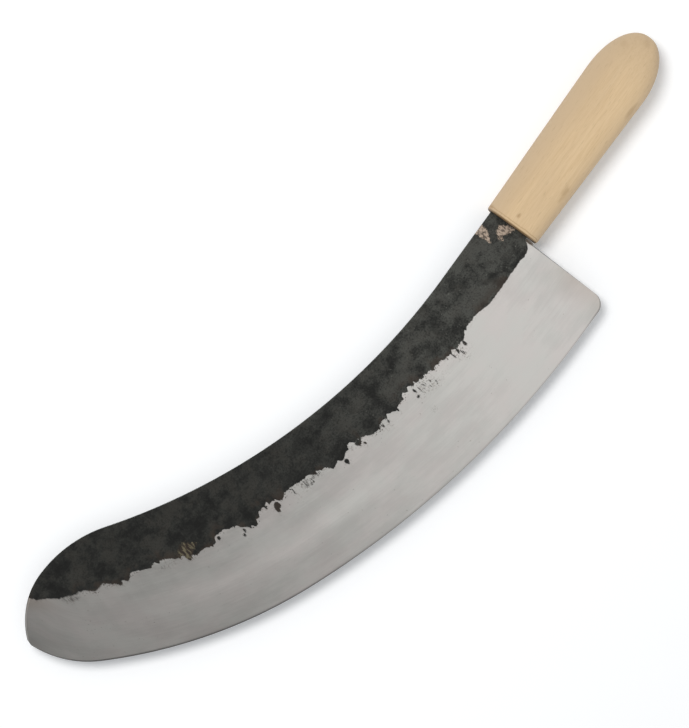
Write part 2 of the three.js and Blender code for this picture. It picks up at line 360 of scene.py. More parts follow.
# Rims, grind, shoulder and tang
BACK_ROUND = 0.6 * MM
EDGE_BEVEL_WIDTH = 0.7 * MM
EDGE_BEVEL_SLOPE = 0.1
HEEL_CHAMFER = 0.2 * MM
NOSE_BEVEL_WIDTH = 1.8 * MM
NOSE_BEVEL_SLOPE = 0.3
NOSE_BEVEL_START = 333 * MM
LEAST_HALF = 0.06 * MM
GRIND_OVERRUN = 1.5 * MM
GRIND_EASE = 28 * MM
SHOULDER_GAP = 0.1 * MM
SHOULDER_END = 14.5 * MM
WALL_FACING = 0.9
TANG_STEPS = 12
TANG_TIP_STEPS = 6

# Scale: the ease and the torn tags of its border, how torn that is along the blade, how it drifts on the
# side that the photograph doesn't show, and how deep islands and patches are told from their rims
EASE_SAMPLES = np.linspace(-1, 1, 9)
BORDER_EASE = 1.0 * MM
TAG_LENGTH = 6.0 * MM
TAG_WIDTH = 2.8 * MM
TAG_REACH = 3.4 * MM
TAG_SPREAD = 7 * MM
TAG_CALM = 0.3
TAG_SWITCH = (-0.35, 0.4)
CALM_HEEL = (46 * MM, 66 * MM)
CALM_TOE = (235 * MM, 320 * MM)
HEEL_TEAR = 0.1
BELLY_TEAR = 0.85
TOE_TEAR = 0.45
FAR_DRIFT = 2.2 * MM
FAR_DRIFT_LENGTH = 14 * MM
HEEL_WALL_SCALE = -0.6
ISLAND_DEPTH = 0.45 * MM
PATCH_REACH = 12 * MM

# Forged skin: where its step and the hammer's marks end at the border, the round of a mark, and its grain
STEP_END = (-0.5 * MM, 0.3 * MM)
HAMMER_END = (-6 * MM, -0.5 * MM)
MARK_ROUND = (0.12, 0.75)
SKIN_GRAIN = 2.6 * MM
SKIN_DEPTH = 0.04 * MM

# Noise: roughness, gap and number of the layers in tags and skin, and which of its lines is read for what
TAG_LAYERS = (0.8, 2.0, 3)
SKIN_LAYERS = (0.9, 2.0, 3)
TAG_LINE = 1.3
DRIFT_LINE = (3.7, 9.1)
TAG_SIDES = 5.0
HAMMER_SIDES = 3


def vertex_notes(bm):
    """Layers for each vertex's station and row, its way from the rim, its lie and the marks it is in."""
    kinds = ((bm.verts.layers.float, NUMBER_NOTES), (bm.verts.layers.float_vector, VECTOR_NOTES))
    if NUMBER_NOTES[0] not in bm.verts.layers.float:
        for layers, names in kinds:
            for name in names:
                layers.new(name)
    return [layers[name] for layers, names in kinds for name in names]


class BladeLayout:
    """Back and edge of the blade at matching stations, with the rows of points between them."""

    def __init__(self, shape):
        self.shape = shape
        self.back_start = Vector((shape.neck_gap, -shape.neck_rise, 0))
        back_moves = [
            straight(shape.spine_straight),
            arc(shape.spine_radius, -shape.spine_angle),
            arc(shape.nose_top_radius, shape.spine_angle),
            arc(shape.nose_end_radius, shape.nose_end_angle),
        ]
        self.nose, _ = follow(self.back_start, 0.0, back_moves)
        self.heel_heading = math.pi / 2 - shape.heel_rake
        heel_lean = (shape.heel_depth + shape.neck_rise) * math.tan(shape.heel_rake)
        heel_corner = Vector((shape.neck_gap + heel_lean, shape.heel_depth, 0))
        tangent = shape.heel_radius * math.tan(self.heel_heading / 2)
        self.edge_start = heel_corner - heading_vector(self.heel_heading) * tangent
        edge_moves = [
            arc(shape.heel_radius, -self.heel_heading),
            straight(shape.edge_straight),
            arc(shape.belly_radius, -shape.belly_angle),
            arc(shape.toe_radius, -shape.toe_angle),
        ]
        toe, toe_heading = follow(self.edge_start, self.heel_heading, edge_moves)
        edge_moves.append(arc_to(toe, toe_heading, self.nose))
        lengths = [sum(move.length for move in moves) for moves in (back_moves, edge_moves)]
        self.length = sum(lengths) / 2
        self.back_moves = [*back_moves[:-1], shortened(back_moves[-1], shape.nose_blunt)]
        self.edge_moves = [*edge_moves[:-1], shortened(edge_moves[-1], shape.nose_blunt)]

    def draw_sheet(self, bm):
        """Draws the blade's middle plane as rows of quads and marks each vertex's station and row."""
        station, row, *_ = vertex_notes(bm)
        back = draw_chain(bm, self.back_start, 0.0, self.back_moves, STATIONS)
        edge = draw_chain(bm, self.edge_start, self.heel_heading, self.edge_moves, STATIONS)
        for i, (back_vert, edge_vert) in enumerate(zip(back, edge)):
            back_vert[station] = edge_vert[station] = i
            edge_vert[row] = ROWS
        self.back = [vert.co.copy() for vert in back]
        self.edge = [vert.co.copy() for vert in edge]
        self.widths = [(a - b).length for a, b in zip(self.edge, self.back)]
        self.rows = [self.row_places(width, i) for i, width in enumerate(self.widths)]
        self.edge_line = self.draw_edge_line()
        bmesh.ops.bridge_loops(bm, edges=bm.edges[:])
        crossing = [edge for edge in bm.edges if edge.verts[0][row] != edge.verts[1][row]]
        bmesh.ops.subdivide_edges(bm, edges=crossing, cuts=ROWS - 1)

    def draw_edge_line(self):
        """The edge as a search tree of points, carried on straight past the rounded heel."""
        heel = arc(self.shape.heel_radius, -self.heel_heading)
        start, _ = follow(self.edge_start, self.heel_heading, [heel])
        points = [point for point in self.edge if point.x >= start.x]
        spacing = self.length / STATIONS
        points += [start - Vector((spacing * k, 0, 0)) for k in range(1, round(start.x / spacing) + 1)]
        tree = kdtree.KDTree(len(points))
        for number, point in enumerate(points):
            tree.insert(point, number)
        tree.balance()
        return tree

    def half_thickness(self, x):
        """Half the thickness of the forging, which thins out towards the nose."""
        shape = self.shape
        share = (x - shape.neck_gap) / (self.nose.x - shape.neck_gap)
        return (shape.neck_thickness + (shape.nose_thickness - shape.neck_thickness) * share) / 2

    def row_places(self, width, i):
        """Distances from the back at which the rows lie, closest at the rims, the border and the neck."""
        place = np.linspace(0, width, ROW_SAMPLES)
        border = width - self.border(self.along(i))
        rim = np.minimum(place, width - place)
        neck = 1 - smooth_share(self.along(i), NECK_END / 2, NECK_END)
        density = 1 / COARSE_ROW + np.exp(-((place - border) / BORDER_BAND) ** 2) / BORDER_ROW
        density += neck * np.exp(-(((place - NECK_PLACE) / NECK_BAND) ** 2)) / NECK_ROW
        density += np.exp(-((rim / RIM_BAND) ** 2)) / RIM_ROW
        total = np.concatenate(([0], np.cumsum((density[1:] + density[:-1]) / 2)))
        return np.interp(np.linspace(0, 1, ROWS + 1), total / total[-1], place)

    def along(self, i):
        """Distance from the heel along the blade's middle at a station."""
        return self.length * i / STATIONS

    def border(self, along, ease=BORDER_EASE):
        """Distance of the scale's border from the edge, with its corners eased."""
        return np.interp(along + EASE_SAMPLES * ease, *SCALE_BORDER.T).mean()

    def raggedness(self, along):
        """How torn the scale's border is: little at the heel, most along the belly."""
        rise = (BELLY_TEAR - HEEL_TEAR) * smooth_share(along, *CALM_HEEL)
        fall = (BELLY_TEAR - TOE_TEAR) * smooth_share(along, *CALM_TOE)
        return HEEL_TEAR + rise - fall

    def below_border(self, along, depth, side):
        """How far a place lies below the scale's torn border, and below its even line; negative above."""
        even = self.border(along) - depth
        if side < 0:
            even += FAR_DRIFT * noise.noise(Vector((along / FAR_DRIFT_LENGTH, *DRIFT_LINE)))
        tag = noise.fractal(Vector((along / TAG_WIDTH, depth / TAG_LENGTH, TAG_SIDES * side)), *TAG_LAYERS)
        rough = smooth_share(noise.noise(Vector((along / TAG_SPREAD, TAG_LINE, side))), *TAG_SWITCH)
        reach = TAG_REACH * self.raggedness(along) * (TAG_CALM + (1 - TAG_CALM) * rough)
        torn = even + reach * tag
        if side > 0:
            middle, level, half_length, half_width, worn = SCALE_ISLANDS.T
            away = np.hypot((along - middle) / half_length, (depth - level) / half_width) - 1
            outside = np.maximum(away * np.minimum(half_length, half_width), -ISLAND_DEPTH)
            torn = min(torn, (outside + worn).min())
        return torn, even

    def from_rim(self, spot, along, place, width):
        """Distance of a place on the ground face from its free rim at the edge, the heel and the nose."""
        distances = [width - place, self.length - along]
        if spot.y > SHOULDER_END:
            distances.append(along)
        if along > NOSE_BEVEL_START:
            distances.append(place)
        return min(distances)

    def height(self, spot, along, place, width, below, side):
        """Height of the blade's surface over its middle plane."""
        shape = self.shape
        depth = width - place
        half = self.half_thickness(spot.x)
        marks = Vector((*spot.xy / shape.hammer_width, HAMMER_SIDES * side))
        dent = 1 - smooth_share(noise.voronoi(marks)[0][0], *MARK_ROUND)
        grain = noise.fractal(Vector((*spot.xy, side)) / SKIN_GRAIN, *SKIN_LAYERS)
        hammered = 1 - smooth_share(below, *HAMMER_END)
        forged = half - hammered * (shape.hammer_depth * dent + SKIN_DEPTH * (grain + 1))
        rise = half - shape.edge_thickness / 2
        slope = min(math.tan(shape.grind_angle), rise / (self.border(along, GRIND_EASE) + GRIND_OVERRUN))
        ground = shape.edge_thickness / 2 + depth * slope
        step = shape.scale_step * (1 - smooth_share(below, *STEP_END))
        height = min(forged, ground + step)
        height -= BACK_ROUND * (1 - math.sqrt(1 - (1 - min(place / BACK_ROUND, 1)) ** 2))
        bevel = EDGE_BEVEL_SLOPE * max(EDGE_BEVEL_WIDTH - depth, 0)
        if along > NOSE_BEVEL_START:
            bevel += NOSE_BEVEL_SLOPE * max(NOSE_BEVEL_WIDTH - place, 0)
        if along == 0:
            bevel += min(HEEL_CHAMFER, height / 2)
        return max(height - bevel, LEAST_HALF)


def patch_depth(patches, spot):
    """How deep a place lies inside the nearest patch, in metres; negative outside."""
    place = spot.xy / MM
    depths = []
    for patch in patches:
        corners = [Vector(corner) for corner in patch]
        inside = False
        nearest = PATCH_REACH / MM
        for a, b in zip(corners, (*corners[1:], corners[0])):
            _, share = geometry.intersect_point_line(place, a, b)
            nearest = min(nearest, (place - a.lerp(b, min(max(share, 0), 1))).length)
            if (a.y > place.y) != (b.y > place.y):
                crossing = a.x + (b.x - a.x) * (place.y - a.y) / (b.y - a.y)
                inside = inside != (place.x < crossing)
        depths.append(nearest if inside else -nearest)
    return max(depths) * MM


def shape_blade(bm, layout):
    """Gives the sheet its two faces and walls, and notes on each vertex where it lies on the blade."""
    made = bmesh.ops.extrude_face_region(bm, geom=bm.faces[:], use_keep_orig=True)
    upper = {item for item in made["geom"] if isinstance(item, bmesh.types.BMVert)}
    station, row, rim, lie, marks = vertex_notes(bm)
    for vert in bm.verts:
        i = round(vert[station])
        side = 1 if vert in upper else -1
        width = layout.widths[i]
        place = layout.rows[i][round(vert[row])]
        along = layout.along(i)
        spot = layout.back[i].lerp(layout.edge[i], place / width)
        below, even = layout.below_border(along, width - place, side)
        height = layout.height(spot, along, place, width, below, side)
        if i == 0 and spot.y > SHOULDER_END:
            below = HEEL_WALL_SCALE * abs(below)
        _, _, edge_distance = layout.edge_line.find(spot)
        bare = patch_depth(BARE_PATCHES, spot) if side > 0 and along < NECK_END else -PATCH_REACH
        rust = patch_depth(RUST_PATCHES, spot) if side > 0 and along > NECK_END else -PATCH_REACH
        vert.co = (spot.x, spot.y, side * height)
        vert[rim] = layout.from_rim(spot, along, place, width)
        vert[lie] = (along, below, edge_distance)
        vert[marks] = (bare, rust, even)


def draw_tang(bm, shape):
    """Draws the neck's shoulder out of the heel's wall, then the tang: a tapered bar with a round tip."""
    station = bm.verts.layers.float["station"]
    reach = shape.tang_root_width / 2
    wall = [
        face for face in bm.faces
        if all(vert[station] == 0 for vert in face.verts)
        and abs(face.normal.x) > WALL_FACING
        and face.calc_center_median().y < SHOULDER_END
    ]
    shoulder, verts = extrude_faces(bm, wall)
    for vert in verts:
        vert.co.x = SHOULDER_GAP
    root = [face for face in shoulder if abs(face.calc_center_median().y) < reach]
    bmesh.ops.inset_region(bm, faces=root, thickness=(shape.neck_thickness - shape.tang_thickness) / 2)
    half_width = max(abs(vert.co.y) for face in root for vert in face.verts)
    tip_radius = shape.tang_tip_width / 2
    tip_start = shape.tang_length - tip_radius
    sections = []
    for k in range(TANG_STEPS + 1):
        share = k / TANG_STEPS
        sections.append((tip_start * share, reach + (tip_radius - reach) * share))
    for k in range(1, TANG_TIP_STEPS):
        turn = quarter_turn(k, TANG_TIP_STEPS)
        sections.append((tip_start + tip_radius * math.sin(turn), tip_radius * math.cos(turn)))
    for depth, section_half in sections:
        root, verts = extrude_faces(bm, root)
        for vert in verts:
            vert.co.x = -depth
            vert.co.y *= section_half / half_width
            vert.co.z = math.copysign(shape.tang_thickness / 2, vert.co.z)
        half_width = section_half


# Grip

GRIP_CORNER_STEPS = 14
GRIP_SIDE_CUTS = 11
GRIP_LENGTH_CUTS = 110
GRIP_RIM_STEPS = 4
GRIP_BUTT_STEPS = 26
GRIP_SHARP = math.radians(50)
SOCKET_STEPS = 6
SOCKET_TAPER = 1.25
SOCKET_ZONE_WIDTH = 0.4
SOCKET_ZONE_HEIGHT = 0.25
SANDING_STROKE = Vector((34, 11, 11)) * MM


def pull_end(bm, end, x, wide=1.0, tall=1.0):
    """Extrudes an end face to a place along the grip, scaled across, and returns the new end."""
    (end,), verts = extrude_faces(bm, [end])
    bmesh.ops.scale(bm, verts=verts, vec=(1, wide, tall))
    for vert in verts:
        vert.co.x = x
    return end


def draw_grip(shape):
    """Draws the grip: a rounded bar that widens to the back, a round butt, a broken front and a socket."""
    bm = bmesh.new()
    half_width = shape.front_width / 2
    half_thickness = shape.thickness / 2
    corners = [(half_width, half_thickness), (-half_width, half_thickness),
               (-half_width, -half_thickness), (half_width, -half_thickness)]
    bm.faces.new([bm.verts.new((-shape.front_chamfer, y, z)) for y, z in corners])
    bmesh.ops.bevel(
        bm, geom=bm.verts[:], offset=shape.edge_radius, offset_type="OFFSET", segments=GRIP_CORNER_STEPS,
        profile=0.5, affect="VERTICES", material=-1,
    )
    sides = [edge for edge in bm.edges if edge.calc_length() > shape.edge_radius / 2]
    bmesh.ops.subdivide_edges(bm, edges=sides, cuts=GRIP_SIDE_CUTS)
    front = bm.faces[:][0]

    straight_end = shape.length - shape.butt_length
    end = pull_end(bm, front, -straight_end, shape.back_width / shape.front_width)
    long_edges = [edge for edge in bm.edges if edge.calc_length() > straight_end / 2]
    bmesh.ops.subdivide_edges(bm, edges=long_edges, cuts=GRIP_LENGTH_CUTS)
    shrink = 1.0
    for k in range(1, GRIP_BUTT_STEPS):
        turn = quarter_turn(k, GRIP_BUTT_STEPS)
        factor = math.cos(turn) / shrink
        shrink = math.cos(turn)
        end = pull_end(bm, end, -straight_end - shape.butt_length * math.sin(turn), factor, factor)
    centre = bmesh.ops.poke(bm, faces=[end])["verts"][0]
    centre.co = (-shape.length, 0, 0)

    last = 0.0
    for k in range(1, GRIP_RIM_STEPS + 1):
        turn = quarter_turn(k, GRIP_RIM_STEPS)
        inward = shape.front_chamfer * (1 - math.cos(turn))
        wide = (half_width - inward) / (half_width - last)
        tall = (half_thickness - inward) / (half_thickness - last)
        front = pull_end(bm, front, shape.front_chamfer * (math.sin(turn) - 1), wide, tall)
        last = inward
    draw_socket(bm, front, shape)
    return bm


def draw_socket(bm, mouth, shape):
    """Sinks the socket into the grip's front end, narrowing as the tang does."""
    rim = shape.front_width / 2 - shape.front_chamfer - shape.socket_width / 2
    bmesh.ops.inset_region(bm, faces=[mouth], thickness=rim)
    tall = max(vert.co.z for vert in mouth.verts)
    bmesh.ops.scale(bm, verts=mouth.verts[:], vec=(1, 1, shape.socket_thickness / 2 / tall))
    blade = bpy.context.scene.cleaver_blade
    end_width = SOCKET_TAPER * blade.tang_tip_width / blade.tang_root_width
    last = 1.0
    for k in range(1, SOCKET_STEPS + 1):
        share = k / SOCKET_STEPS
        width = 1 + (end_width - 1) * share
        mouth = pull_end(bm, mouth, -shape.socket_depth * share, width / last)
        last = width


def sand_grip(bm, shape):
    """Leaves the grip a little uneven, as hand sanding does, and never past its drawn size."""
    bm.normal_update()
    for vert in bm.verts:
        in_width = abs(vert.co.y) < shape.front_width * SOCKET_ZONE_WIDTH
        in_height = abs(vert.co.z) < shape.thickness * SOCKET_ZONE_HEIGHT
        if in_width and in_height and vert.co.x > -shape.length + shape.butt_length / 2:
            continue
        place = Vector(part / stroke for part, stroke in zip(vert.co, SANDING_STROKE))
        uneven = (noise.noise(place) + 1) / 2
        vert.co -= vert.normal * (shape.sanding * uneven)


# Finishes

BLACK = (0, 0, 0)

# Stretches of the blade over which its looks change, by their distances from the heel
SOFT_TOE = (250 * MM, 310 * MM)
# Where the scale greys towards the neck, partly by wear and partly by a painted reflection
NECK_WEAR_AND_SHEEN = (230 * MM, 20 * MM)
# Painted sheen: where a lighter streak that stands in for reflected light rises and falls along the belly,
# then the same by the heel
PAINTED_SHEEN_RISE = (120 * MM, 190 * MM)
PAINTED_SHEEN_FALL = (330 * MM, 240 * MM)
PAINTED_HEEL_SHEEN_RISE = (25 * MM, 50 * MM)
PAINTED_HEEL_SHEEN_FALL = (90 * MM, 60 * MM)
# Painted shade: where the ground face darkens towards the toe, standing in for a dimmer reflection there
PAINTED_SHADE_TOE = (90 * MM, 270 * MM)
NOSE_STAIN = (318 * MM, 340 * MM)
HEEL_WARMTH = (20 * MM, 0.0)
# Where the painted shade along the ground face's rims is strongest: at the heel and towards the toe
HEEL_RIM_SHADE = (22 * MM, 6 * MM)
TOE_RIM_SHADE = (150 * MM, 235 * MM)

# The same by distances from the cutting edge, and by distances below the scale's border
# Middle and half width of the painted sheen, a lighter streak that stands in for reflected light
PAINTED_SHEEN_MIDDLE = 24 * MM
PAINTED_SHEEN_HALF = 9 * MM
HEEL_WARMTH_DEPTH = (42 * MM, 20 * MM)
DARK_RIM = (-4 * MM, -0.8 * MM)
BROWN_RIM = (-7 * MM, -1 * MM)
DUST_REACH = (3.0 * MM, 0.0)
NOSE_STAIN_DEPTH = (12 * MM, 1 * MM)

# Stretches of the grip: across it, along it and out from the socket; and how low its stains reach
GREY_SIDE = (-2 * MM, -14 * MM)
# Across the grip: where painted light lightens its right side, against the shade that its round edge takes
# there
PAINTED_LIGHT_SIDE = (9 * MM, 15 * MM)
GREY_BUTT = (-85 * MM, -118 * MM)
# Along the grip: its front rim, darkened partly by scorch and partly by painted shade at the joint
FRONT_RIM_SCORCH_AND_SHADE = (-0.7 * MM, -0.1 * MM)
FRONT_FACE = (-1.0 * MM, -0.2 * MM)
CHARRED_MOUTH = (8 * MM, 5 * MM)
STAINED_ABOVE = -6 * MM

# Stains on the grip's upper side: place along and across, half length, half width and strength
WOOD_STAINS = (
    (-5.8, -0.7, 1.7, 0.8, 0.6), (-30, 11.8, 5, 1.5, 0.36), (-83, 14.6, 5, 1.2, 0.28),
    (-117, 0.5, 2, 3, 0.16), (-109.5, -8.7, 2.5, 2.5, 0.13), (-1.5, -14.5, 1.5, 2.0, 0.4),
)


class NodeBench:
    """A node tree and short ways to add and join its nodes."""

    def __init__(self, tree):
        self.tree = tree

    def add(self, kind, inputs=None, **settings):
        """Adds a node, sets its settings and joins or sets its inputs by name or number."""
        node = self.tree.nodes.new(kind)
        for name, value in settings.items():
            setattr(node, name, value)
        for name, value in (inputs or {}).items():
            self.put(node.inputs[name], value)
        return node

    def put(self, socket, value):
        """Joins a socket to another, or sets its value."""
        if isinstance(value, bpy.types.NodeSocket):
            self.tree.links.new(value, socket)
        else:
            socket.default_value = value

    def math(self, operation, a, b=0.0, c=0.0):
        """One step of arithmetic on up to three numbers."""
        return self.add("ShaderNodeMath", {0: a, 1: b, 2: c}, operation=operation).outputs[0]

    def place(self):
        """Place on the piece, in metres."""
        return self.add("ShaderNodeTexCoord").outputs["Object"]

    def knife_place(self):
        """Place in the knife's own frame, in metres."""
        location, turn, _ = knife_place().decompose()
        mapping = self.add("ShaderNodeMapping", {"Vector": self.place()}, vector_type="TEXTURE")
        mapping.inputs["Location"].default_value = location
        mapping.inputs["Rotation"].default_value = turn.to_euler()
        return mapping.outputs[0]

    def attribute(self, name):
        """The three numbers of a vertex note."""
        vector = self.add("ShaderNodeAttribute", attribute_name=name).outputs["Vector"]
        return self.split(vector)

    def split(self, vector):
        """The three numbers of a vector."""
        return self.add("ShaderNodeSeparateXYZ", {0: vector}).outputs[:]

    def join(self, x, y, z):
        """A vector of three numbers."""
        return self.add("ShaderNodeCombineXYZ", {0: x, 1: y, 2: z}).outputs[0]

    def stretch(self, vector, factors):
        """A vector with each of its numbers scaled."""
        return self.add("ShaderNodeVectorMath", {0: vector, 1: factors}, operation="MULTIPLY").outputs[0]

    def length(self, vector):
        """How long a vector is."""
        return self.add("ShaderNodeVectorMath", {0: vector}, operation="LENGTH").outputs["Value"]

    def times(self, first, *others):
        """The product of several numbers."""
        for other in others:
            first = self.math("MULTIPLY", first, other)
        return first

    def noise(self, vector, size, detail=2.0, roughness=0.5, stretch=None, distortion=0.0):
        """Noise from 0 to 1 with features of a size in metres, over a place that may be stretched first."""
        if stretch:
            vector = self.stretch(vector, stretch)
        inputs = {"Vector": vector, "Scale": 1 / size, "Detail": detail, "Roughness": roughness,
                  "Distortion": distortion}
        return self.add("ShaderNodeTexNoise", inputs).outputs["Fac"]

    def remap(self, value, low, high, new_low=0.0, new_high=1.0):
        """An eased step from one range to another."""
        inputs = {"Value": value, "From Min": low, "From Max": high, "To Min": new_low, "To Max": new_high}
        return self.add("ShaderNodeMapRange", inputs, interpolation_type="SMOOTHSTEP").outputs["Result"]

    def blend(self, share, a, b):
        """One colour blended into another."""
        node = self.add("ShaderNodeMix", data_type="RGBA")
        self.put(node.inputs["Factor"], share)
        self.put(node.inputs[6], colour(a))
        self.put(node.inputs[7], colour(b))
        return node.outputs[2]

    def layer(self, base, *coats):
        """A colour under coats of others, each given with its share."""
        for share, tone in coats:
            base = self.blend(share, base, tone)
        return base

    def mix(self, share, a, b):
        """One number blended into another."""
        return self.add("ShaderNodeMix", {"Factor": share, 2: a, 3: b}).outputs[0]

    def sum(self, *parts):
        """The sum of several numbers, each with its share."""
        total = 0.0
        for value, share in parts:
            total = self.math("MULTIPLY_ADD", value, share, total)
        return total

    def bump(self, height, distance, strength=1.0):
        """Normals from a height."""
        inputs = {"Height": height, "Distance": distance, "Strength": strength}
        return self.add("ShaderNodeBump", inputs).outputs[0]


class Finish(NodeBench):
    """A material with its surface shader."""

    def __init__(self, name):
        self.material = bpy.data.materials.new(name)
        self.material.use_nodes = True
        super().__init__(self.material.node_tree)
        self.surface = self.tree.nodes["Principled BSDF"]

    def set(self, **inputs):
        """Sets the surface's own sockets, with underscores for spaces."""
        for name, value in inputs.items():
            self.put(self.surface.inputs[name.replace("_", " ")], colour(value))


def colour(value):
    """A socket as it is, or a colour of three numbers with its fourth."""
    if isinstance(value, (bpy.types.NodeSocket, int, float)):
        return value
    return (*value[:3], 1.0)


def shade(value, factor):
    """A colour made lighter or darker."""
    return tuple(part * factor for part in value)


BladePlace = namedtuple("BladePlace", "piece flow along below edge bare rust even rim")
Surface = namedtuple("Surface", "tone roughness relief")


def blade_place(steel):
    """A point's place on the piece and in the flow of the grind, and what the blade's vertices note there."""
    piece = steel.place()
    along, below, edge = steel.attribute("blade_lie")
    bare, rust, even = steel.attribute("blade_marks")
    rim = steel.add("ShaderNodeAttribute", attribute_name="blade_rim").outputs["Fac"]
    flow = steel.join(along, edge, steel.split(piece)[2])
    return BladePlace(piece, flow, along, below, edge, bare, rust, even, rim)


def torn_border(steel, at):
    """How much ground face shows through the scale's frayed border, how rough that is, and its specks."""
    spread = steel.noise(steel.join(at.along, 0.0, steel.split(at.piece)[2]), 11 * MM)
    rough = steel.times(steel.remap(at.along, *CALM_HEEL), steel.remap(spread, 0.4, 0.62))
    tear = steel.noise(at.flow, 1.0 * MM, 3.0, 0.6, (1.0, 0.5, 1.0))
    hair = steel.noise(at.flow, 0.5 * MM, 2.0, 0.6, (1.0, 0.16, 1.0))
    fray = steel.math("SUBTRACT", steel.sum((tear, 0.5), (hair, 0.5)), 0.5)
    loose_reach = steel.remap(at.even, 0.6 * MM, 2.0 * MM, 0.0, 2.4 * MM)
    reach = steel.math("MAXIMUM", steel.mix(rough, 0.9 * MM, 3.8 * MM), loose_reach)
    torn = steel.math("MULTIPLY_ADD", fray, reach, at.below)

    speck = steel.noise(at.flow, 0.9 * MM, 1.0)
    rarer = steel.remap(at.even, 0.0, 7 * MM, 0.66, 0.82)
    cluster = steel.remap(steel.noise(at.flow, 9 * MM, 1.0), 0.44, 0.62, 0.2, 0.0)
    heel_clear = steel.remap(at.along, *CALM_HEEL, 0.2, 0.0)
    limit = steel.sum((rarer, 1.0), (cluster, 1.0), (heel_clear, 1.0))
    clear = steel.times(steel.math("SUBTRACT", limit, speck), 4 * MM)

    soft = steel.remap(at.along, *SOFT_TOE, 0.24 * MM, 0.7 * MM)
    ground = steel.remap(steel.math("MINIMUM", torn, clear), steel.times(soft, -1.0), soft)
    return ground, rough, speck


def scale_surface(steel, at, tones):
    """Mottled black scale, greyer to the neck by wear and a painted reflection, browner at its border, with
    brown and bare patches.
    """
    cloud = steel.noise(at.piece, 10 * MM, 3.0, 0.55)
    grain = steel.noise(at.piece, 0.9 * MM, 3.0, 0.7)
    blotch = steel.noise(at.piece, 3.2 * MM)
    mottle = steel.sum((cloud, 0.5), (grain, 0.3), (blotch, 0.2))
    smear = steel.sum((steel.noise(at.piece, 9 * MM, 3.0, 0.6), 0.75), (grain, 0.25))
    # Greyer smears towards the neck: partly worn scale, partly a painted reflection
    neck = steel.remap(at.along, *NECK_WEAR_AND_SHEEN)
    smudge_and_sheen = steel.times(neck, steel.remap(smear, 0.38, 0.62, 0.1, 1.15))
    fleck = steel.remap(steel.noise(at.piece, 1.3 * MM, 2.0, 0.6), 0.66, 0.74, 0.0, 0.6)
    dark_rim = steel.times(steel.remap(at.below, *DARK_RIM), steel.remap(smear, 0.6, 0.42, 0.0, 0.8))
    brown = steel.times(steel.remap(at.below, *BROWN_RIM, 0.12, 0.6), steel.remap(cloud, 0.48, 0.62))

    ragged = steel.times(steel.math("SUBTRACT", grain, 0.5), 7 * MM)
    rusty = steel.remap(steel.math("ADD", at.rust, ragged), -0.6 * MM, 1.2 * MM)
    run = steel.noise(at.flow, 1.1 * MM, 2.0, 0.5, (1.0, 0.3, 1.0))
    rust_tone = steel.blend(steel.remap(run, 0.42, 0.62), shade(tones.rust, 0.7), tones.bloom)
    worn = steel.remap(steel.math("MULTIPLY_ADD", ragged, 0.5, at.bare), -0.3 * MM, 0.3 * MM)
    brush = steel.noise(at.piece, 0.9 * MM, 3.0, 0.65, (1.0, 0.45, 1.0))
    bare_tone = steel.blend(steel.remap(brush, 0.4, 0.6), shade(tones.bare, 0.3), shade(tones.bare, 1.25))

    tone = steel.layer(
        shade(tones.scale, 0.3),
        (steel.remap(mottle, 0.4, 0.6), shade(tones.scale, 2.0)),
        (smudge_and_sheen, tones.worn_and_sheen_scale),
        (steel.times(fleck, neck), shade(tones.worn_and_sheen_scale, 2.2)),
        (steel.remap(grain, 0.5, 0.34, 0.0, 0.5), shade(tones.scale, 0.5)),
        (dark_rim, shade(tones.scale, 0.5)),
        (brown, tones.rust),
        (rusty, rust_tone),
        (worn, bare_tone),
    )
    relief = steel.sum((steel.noise(at.piece, 0.7 * MM, 3.0, 0.6), 0.5), (blotch, 0.5))
    return Surface(tone, steel.remap(mottle, 0.35, 0.65, 0.62, 0.44), relief)


